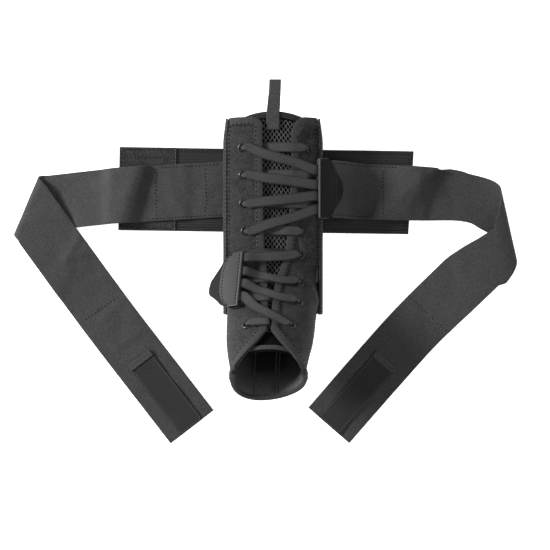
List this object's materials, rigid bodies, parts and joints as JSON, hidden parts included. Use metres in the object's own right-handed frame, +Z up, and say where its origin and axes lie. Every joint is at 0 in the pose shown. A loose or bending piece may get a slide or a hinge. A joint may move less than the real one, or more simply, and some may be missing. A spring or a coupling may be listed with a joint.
{
  "type": "lace-up ankle brace",
  "caption": "Lace-up ankle brace lying on its back, with a raised open-toed foot part, lace guides, a closure band and two folded wrap straps with hook tabs",
  "frame": {"origin": "on the resting face, on the underside of the closure band, under the middle of the shin part", "axes": "+X to the right in plan, along the closure band; +Y from the heel to the cuff; +Z up from the calf to the laces"},
  "size_m": [0.475, 0.3422, 0.104],
  "materials": {
    "upper": "matt grey-black woven nylon",
    "binding": "matt binding tape",
    "mesh": "open spacer mesh over foam",
    "webbing": "smooth woven strap",
    "band": "ribbed elastic and loop patch",
    "hook": "moulded hook tape",
    "lace": "flat braided lace",
    "leather": "satin synthetic leather",
    "eyelet": "gloss black"
  },
  "bodies": {
    "root": {"back_panel": "upper", "sole": "upper", "toe_hem": "binding", "tongue": "mesh", "tongue_binding": "binding", "pull_tab": "webbing", "closure_band": "band", "closure_patch": "band", "guide_anchor": "webbing", "quarter_left": "upper", "lacing_edge_left": "binding", "cuff_hem_left": "binding", "side_piping_left": "binding", "lace_guide_left_cover": "leather", "lace_guide_left_base": "leather", "wrap_strap_left": "webbing", "hook_tab_left": "hook", "eyelet_left_1": "eyelet", "eyelet_left_2": "eyelet", "eyelet_left_3": "eyelet", "eyelet_left_4": "eyelet", "eyelet_left_5": "eyelet", "eyelet_left_6": "eyelet", "eyelet_left_7": "eyelet", "eyelet_left_8": "eyelet", "quarter_right": "upper", "lacing_edge_right": "binding", "cuff_hem_right": "binding", "side_piping_right": "binding", "lace_guide_right_cover": "leather", "lace_guide_right_base": "leather", "wrap_strap_right": "webbing", "hook_tab_right": "hook", "eyelet_right_1": "eyelet", "eyelet_right_2": "eyelet", "eyelet_right_3": "eyelet", "eyelet_right_4": "eyelet", "eyelet_right_5": "eyelet", "eyelet_right_6": "eyelet", "eyelet_right_7": "eyelet", "eyelet_right_8": "eyelet", "lace_upper_1": "lace", "lace_upper_2": "lace", "lace_lower_1": "lace", "lace_lower_2": "lace"}
  },
  "joints": []
}
